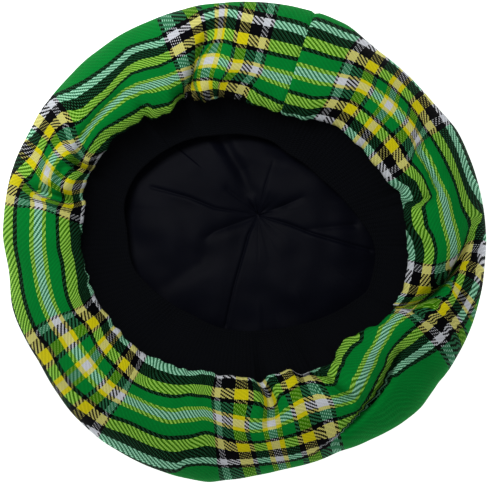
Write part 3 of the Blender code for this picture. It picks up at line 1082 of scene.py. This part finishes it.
    def build(self) -> bpy.types.Object:
        """Makes the strip and puts it in the place of its solid.

        Returns:
            The piece.
        """
        smooth = self.outer()
        inner = ClothFace(smooth.points - smooth.normals(6) * self.wall, smooth.flat)
        inner = inner.columns(slice(None, 1, -1))
        loop = self.rolled(self.roughened(smooth)).joined(inner)
        obj = Needle.ring(self.name, loop)
        obj.data.materials.append(Plaid().material())
        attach(obj, BODY)
        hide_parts("underside")
        return obj


@dataclass
class Rings:
    """The lines that the pieces share, read at any angle."""

    # The band's free edge.
    free_edge: tuple[tuple[float, float], ...] = (
        # angle, radius
        (0.7, 74.9), (10.9, 68.9), (26.5, 62.0), (43.4, 57.9), (61.6, 57.7), (75.6, 61.2),
        (90.0, 62.8), (103.6, 64.3), (117.0, 67.5), (130.7, 70.2), (150.5, 73.4), (159.5, 72.8),
        (175.1, 67.3), (191.1, 65.1), (204.5, 59.5), (219.4, 54.3), (238.7, 50.3), (258.0, 50.3),
        (280.4, 51.2), (299.9, 55.2), (316.9, 62.6), (330.7, 70.6), (341.2, 76.6), (353.3, 76.6),
    )

    @staticmethod
    def read(rows: Array, angle: Array) -> Array:
        """Reads a closed line.

        Args:
            rows: angle and radius of its points, through one turn.
            angle: where to read it.

        Returns:
            The radius at each angle.
        """
        spare = 4
        before = rows[-spare:] - (360.0, 0.0)
        after = rows[:spare] + (360.0, 0.0)
        line = np.concatenate((before, rows, after))
        return Curve(line[:, 0], line[:, 1])((np.asarray(angle) - rows[0, 0]) % 360.0 + rows[0, 0])

    def free(self, angle: Array) -> Array:
        """Radius of the band's free edge."""
        return self.read(np.array(self.free_edge), angle)

    def hem(self, angle: Array) -> Array:
        """Radius of the tartan's hem."""
        return self.read(np.array([(row[2], row[3]) for row in Strip.rows[:-1]]), angle)

    def rim(self, angle: Array) -> Array:
        """Radius of the hat's widest line."""
        return self.read(np.array([(row[11], row[12]) for row in Strip.rows[:-1]]), angle)

    def hem_height(self, angle: Array) -> Array:
        """Height of the tartan's hem, with the folds that reach it."""
        plan = polar(angle, self.hem(angle))
        return HEM_Z + sum(fold.heights(plan) for fold in Underside.folds)


@dataclass
class Crown:
    """The tartan disc that the hat lies on, turned up at its edge to the seam with the strip."""

    name: str = "tartan_crown"
    around: int = 360
    turned_steps: int = 9
    flat_steps: int = 30
    wall: float = 1.2
    seam_gap: float = 1.2  # between the crown and the strip
    allowance: tuple[float, float] = (1.6, 1.0)  # how far the seam's allowance goes in and up
    crumple: float = 0.45
    unevenness: Crumple = Crumple(21, 18.0, 70.0)
    loose: float = 0.3  # raises the unevenness, of which only what is above the floor is kept
    grain: float = 24.0  # how far the plaid is turned, in degrees
    cut_width: float = 0.262

    def low(self) -> ClothFace:
        """Lays the face that rests on the floor, from the seam in to near the hub.

        Returns:
            The face.
        """
        angle = np.arange(self.around + 1) * 360.0 / self.around
        rim = Rings().rim(angle)
        gap = math.degrees(self.seam_gap / (rim - flat_radius(angle)).min())
        turn = np.linspace(SEAM_TURN + gap, 90.0, self.turned_steps)
        turned = under_points(angle, rim, turn)
        hub = np.array((*FLAT_AT, 0.0))
        share = np.linspace(1.0, 0.0, self.flat_steps + 1)[1:-1]
        flat = hub + (turned[:, -1:] - hub) * share[None, :, None]
        inward, upward = self.allowance
        edge = turned[:, :1].copy()
        edge[..., :2] *= 1.0 - inward / np.linalg.norm(edge[..., :2], axis=-1, keepdims=True)
        edge[..., 2] += upward
        points = np.concatenate((edge, turned, flat), 1)
        away = run_to_hub(points, hub)
        way = unit(points[:, -1, :2] - hub[:2])
        c, s = math.cos(math.radians(self.grain)), math.sin(math.radians(self.grain))
        way = way @ np.array(((c, -s), (s, c)))
        return ClothFace(points[:-1], way[:, None] * away[..., None] * MM)

    def build(self) -> bpy.types.Object:
        """Makes the crown and puts it in the place of its solid.

        Returns:
            The piece.
        """
        low = self.low()
        lift = self.crumple * np.clip(self.unevenness(low.points) + self.loose, 0.0, 1.0)
        low = ClothFace(low.points + UP * lift[..., None], low.flat)
        up = low.normals(3)
        up *= np.sign(up[..., 2:])
        top = ClothFace(low.points + up * self.wall, low.flat)
        hub = np.array((*FLAT_AT, 0.0))
        obj = Needle.disc(self.name, top, low, np.array((hub + UP * self.wall, hub)))
        obj.data.materials.append(Plaid(name="plaid_twill_crown").material())
        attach(obj, BODY)
        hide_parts("crown")
        return obj


@dataclass
class Headband:
    """The ribbed knit band, drawn in by its elastic from the hem down to its free edge."""

    name: str = "knit_headband"
    ribs: int = 190
    columns: int = 6  # points for each rib
    steps: int = 26
    edge_steps: int = 6
    back_steps: int = 8
    wall: float = 2.4
    tuck: float = 1.6  # how far its top lies below the turned hem, and outside it
    inset: float = 0.7
    rib_height: float = 0.28
    rib_round: float = 0.8  # below 1 is fuller than a wave
    rib_fade: float = 0.06  # of the way from the hem, where the ribs rise out of the seam
    free_round: float = 1.2  # radius of the free edge
    plan_round: float = 1.25  # how full the basin is, in plan and in height
    height_round: float = 1.1
    crumple: float = 0.5
    unevenness: Crumple = Crumple(31, 16.0, 50.0)
    cut: tuple[float, float] = (0.046, 0.475)

    def front(self, angle: Array) -> Array:
        """Lays the smooth face that the head touches, from the hem to the free edge.

        Args:
            angle: the angle of each column.

        Returns:
            The points.
        """
        rings = Rings()
        hem, free = rings.hem(angle) + self.inset, rings.free(angle) + self.free_round
        top = rings.hem_height(angle) - self.tuck
        way = np.linspace(0.0, 1.0, self.steps) * math.pi / 2
        radius = free[:, None] + (hem - free)[:, None] * np.cos(way) ** self.plan_round
        height = FREE_Z + (top - FREE_Z)[:, None] * (1.0 - np.sin(way) ** self.height_round)
        points = np.concatenate((polar(angle[:, None], radius), height[..., None]), -1)
        points[..., 2] += self.crumple * self.unevenness(points) * np.sin(way)
        return points

    def build(self) -> bpy.types.Object:
        """Makes the band and puts it in the place of its solid.

        Returns:
            The piece.
        """
        count = self.ribs * self.columns
        angle = np.arange(count + 1) * 360.0 / count
        front = self.front(angle)
        up = -ClothFace(front[:-1], front[..., :2]).normals(2)
        up = np.concatenate((up, up[:1]))
        up *= np.sign(up[..., 2:])
        shown = np.clip(np.linspace(0.0, 1.0, self.steps) / self.rib_fade, 0.0, 1.0)[:, None]
        wave = np.abs(np.cos(np.radians(angle) * self.ribs / 2)) ** self.rib_round
        ribs = (self.rib_height * (wave - 0.5))[:, None, None]
        face = front + up * ribs * shown
        turns = np.linspace(0.0, math.pi, self.edge_steps + 2)[1:-1, None]
        inward = -unit(front[:, -1:] * (1.0, 1.0, 0.0))
        last, lift = front[:, -1:], up[:, -1:]
        turned = lift * np.cos(turns) + inward * np.sin(turns)
        edge = last - lift * self.free_round + (self.free_round + ribs) * turned
        chosen = np.linspace(self.steps - 1, 0, self.back_steps).round().astype(int)
        back = front[:, chosen] - up[:, chosen] * self.wall
        loop = np.concatenate((face, edge, back), 1)
        run = np.linalg.norm(np.diff(loop, axis=1), axis=2)
        place = np.cumsum(np.concatenate((np.zeros((count + 1, 1)), run), 1), axis=1)
        rib = np.arange(count + 1)[:, None] / self.columns * self.cut[1] / self.ribs
        flat = np.stack((np.broadcast_to(rib, place.shape), place * MM), -1)
        obj = Needle.ring(self.name, ClothFace(loop[:-1, ::-1], flat[:, ::-1]))
        obj.data.materials.append(RibKnit().material())
        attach(obj, BODY)
        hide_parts("headband")
        return obj


@dataclass
class Lining:
    """The satin lining: a side behind the band, and four gores that meet in a pinch."""

    name: str = "satin_lining"
    around: int = 560
    floor_steps: int = 74
    wall: float = 0.7
    drop: float = 6.0  # from the hem down to the lining's top edge
    side: tuple[tuple[float, float | None], ...] = (
        # outside the hem, height (None: the drop below the hem)
        (5.0, None),
        (4.6, 32.0),
        (4.2, 26.0),
        (3.2, 19.5),
        (1.0, 12.0),
        (-1.6, 7.6),
        (-4.0, 5.2),
        (-7.0, 4.2),
    )
    floor: tuple[tuple[float, float], ...] = (
        # share of the way out from the pinch, height
        (0.0, 3.8),
        (0.06, 5.4),
        (0.14, 7.2),
        (0.34, 9.4),
        (0.56, 9.2),
        (0.78, 6.4),
        (0.92, 4.4),
        (1.0, 3.8),
    )
    lowest: float = 2.6  # clear of the crown
    fade: float = 0.08  # share of the way in over which the floor's folds rise
    gather: float = 0.3  # height of the small gathers round the pinch
    gathers: Crumple = Crumple(41, 3.0, 9.0)
    gather_ring: float = 12.0  # radius of the ring that they are read on
    gather_reach: float = 14.0
    crumple: float = 0.6
    unevenness: Crumple = Crumple(42, 14.0, 50.0)
    cut: tuple[float, float] = (0.24, 0.22)
    folds: tuple[Fold, ...] = tuple(
        Fold(kind, width, tuple(path))
        for kind, width, *path in (
            # kind, half width; x, y and height of each point
            # the four gores' seams
            (CREASE, 0.9, (8.4, 16.6, -0.2), (3.1, 5.8, -1.0), (-5.5, -24.9, -1.0),
             (-10.5, -48.2, -0.9)),
            (CREASE, 1.0, (8.4, 16.6, -0.2), (-16.5, 20.5, -1.0), (-31.2, 26.6, -1.2),
             (-53.3, 32.8, -0.9)),
            (CREASE, 1.1, (8.4, 16.6, -0.2), (27.7, 10.7, -1.2), (39.9, 5.8, -1.4),
             (74.0, -4.1, -1.4)),
            (CREASE, 0.9, (8.4, 16.6, -0.2), (12.8, 34.0, -0.6), (17.3, 47.5, -0.3)),
            # folds of the loose cloth
            (CREASE, 2.4, (37.3, 8.2, -0.8), (64.5, 10.7, -1.6)),
            (RIDGE, 4.0, (3.1, 30.8, -1.4), (-1.7, 42.6, -2.8), (-11.7, 58.5, -2.0)),
            (CREASE, 2.4, (10.8, 18.0, -0.5), (22.7, 21.7, -2.2), (33.8, 26.6, -0.8)),
            (CREASE, 3.0, (6.8, 15.6, -0.4), (-6.7, 10.7, -2.2), (-16.5, 7.0, -1.8),
             (-21.6, 3.5, -1.0)),
            (RIDGE, 5.0, (-44.0, -24.0, -1.2), (-24.0, -12.0, -1.5), (-21.0, 1.0, -0.8)),
            (CREASE, 2.6, (-9.3, 31.5, -1.0), (5.6, 20.5, -1.4)),
        )
    )

    def top(self) -> ClothFace:
        """Lays the face that shows, from its top edge to near the pinch.

        Returns:
            The face.
        """
        angle = np.arange(self.around + 1) * 360.0 / self.around
        rings = Rings()
        hem = rings.hem(angle)
        high = rings.hem_height(angle) - self.drop
        rows = []
        for outside, height in self.side:
            level = high if height is None else np.minimum(high, height)
            rows.append(np.concatenate((polar(angle, hem + outside), level[:, None]), 1))
        share = np.linspace(1.0, 0.0, self.floor_steps + 1)[1:-1]
        heights = Curve(*np.array(self.floor).T)(share)
        base = rows[-1][:, :2]
        plan = PINCH_AT + (base[:, None] - PINCH_AT) * share[None, :, None]
        height = heights[None, :] * np.ones(plan.shape[:2])
        fade = np.clip((1.0 - share) / self.fade, 0.0, 1.0)
        height += sum(fold.heights(plan) for fold in self.folds) * fade
        out = plan - PINCH_AT
        near = np.exp(-((np.linalg.norm(out, axis=-1) / self.gather_reach) ** 2))
        height += self.gather * self.gathers(unit(out) * self.gather_ring) * near
        height += self.crumple * self.unevenness(plan) * fade
        height = np.maximum(height, self.lowest)
        floor = np.concatenate((plan, height[..., None]), -1)
        points = np.concatenate((np.stack(rows, 1), floor), 1)
        away = run_to_hub(points, self.hub())
        flat = unit(points[:, -1, :2] - PINCH_AT)[:, None] * away[..., None] * MM
        return ClothFace(points[:-1], flat)

    def hub(self) -> Array:
        """The point where the gores meet."""
        return np.array((*PINCH_AT, self.floor[0][1]))

    def build(self) -> bpy.types.Object:
        """Makes the lining and puts it in the place of its solid.

        Returns:
            The piece.
        """
        top = self.top()
        up = -top.normals(3)
        low = ClothFace(top.points - up * self.wall, top.flat)
        hubs = np.array((self.hub(), self.hub() - UP * self.wall))
        obj = Needle.disc(self.name, top, low, hubs)
        obj.data.materials.append(LiningSatin().material())
        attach(obj, BODY)
        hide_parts("lining")
        return obj


@dataclass
class Studio:
    """A pale floor, soft light and the camera, straight above as in the photograph."""

    eye_height: float = 1.5  # metres
    eye_shift: float = 0.287 * MM  # half a pixel, in metres
    view_width: float = 0.2801  # metres seen across, at the rim's height
    sensor: float = 36.0
    floor_size: float = 6.0
    floor_drop: float = 0.1  # below the hat, in millimetres
    floor_colour: Colour = (0.9, 0.9, 0.9)
    floor_shade: float = 0.99
    floor_grain: Blots = Blots(40.0, 4.0, 0.02)
    floor_roughness: float = 0.9
    floor_specular: float = 0.1
    floor_glow: float = 1.0  # light that comes up through the paper
    sky: Colour = (1.0, 1.0, 1.0)
    sky_strength: float = 0.28
    lamps: tuple[tuple[str, tuple[float, float, float], float, float], ...] = (
        # name, place in metres, width in metres, power in watts
        ("key", (-0.15, 0.20, 0.45), 0.16, 1.16),
    )

    def floor(self) -> None:
        """Lays the floor."""
        half = self.floor_size / 2
        corners = [(-half, -half, 0.0), (half, -half, 0.0), (half, half, 0.0), (-half, half, 0.0)]
        mesh = bpy.data.meshes.new("floor")
        mesh.from_pydata(corners, [], [(0, 1, 2, 3)])
        obj = bpy.data.objects.new("floor", mesh)
        obj.location.z = -self.floor_drop * MM
        bpy.context.scene.collection.objects.link(obj)
        graph = Graph("floor_paper")
        shade = graph.blotted(self.floor_shade, self.floor_grain)
        paper = graph.dress(
            graph.shaded((*self.floor_colour, 1.0), shade),
            Roughness=self.floor_roughness,
            Specular_IOR_Level=self.floor_specular,
            Emission_Strength=self.floor_glow,
        )
        graph.surface.inputs["Emission Color"].default_value = (1.0, 1.0, 1.0, 1.0)
        mesh.materials.append(paper)

    def lights(self) -> None:
        """Hangs the lamps and sets the light from all round."""
        for name, place, size, power in self.lamps:
            data = bpy.data.lights.new(name, "AREA")
            data.shape = "DISK"
            data.size = size
            data.energy = power
            lamp = bpy.data.objects.new(name, data)
            lamp.location = place
            lamp.rotation_euler = (-lamp.location).to_track_quat("-Z", "Y").to_euler()
            lamp.visible_camera = False
            bpy.context.scene.collection.objects.link(lamp)
        world = bpy.data.worlds.new("soft_room")
        world.use_nodes = True
        sky = world.node_tree.nodes["Background"]
        sky.inputs["Color"].default_value = (*self.sky, 1.0)
        sky.inputs["Strength"].default_value = self.sky_strength
        bpy.context.scene.world = world

    def camera(self) -> None:
        """Sets the camera."""
        data = bpy.data.cameras.new("eye")
        data.sensor_width = self.sensor
        data.lens = self.sensor * (self.eye_height - RIM_Z * MM) / self.view_width
        eye = bpy.data.objects.new("eye", data)
        x, y = PLAN_CENTRE * MM + self.eye_shift
        eye.location = (x, y, self.eye_height)
        bpy.context.scene.collection.objects.link(eye)
        bpy.context.scene.camera = eye

    def build(self) -> None:
        """Sets the stage."""
        self.floor()
        self.lights()
        self.camera()
        bpy.context.scene.view_settings.view_transform = "Standard"


def main() -> None:
    """Builds the hat and the studio."""
    logging.basicConfig(level=logging.INFO, format="%(message)s")
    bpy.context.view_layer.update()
    Studio().build()
    for part in (Underside(), Crown(), Headband(), Lining()):
        piece = part.build()
        mesh = piece.data
        area = sum(face.area for face in mesh.polygons)
        LOG.info("%s: %d faces, %.4f square metres of surface", piece.name, len(mesh.polygons), area)


if __name__ == "__main__":
    main()
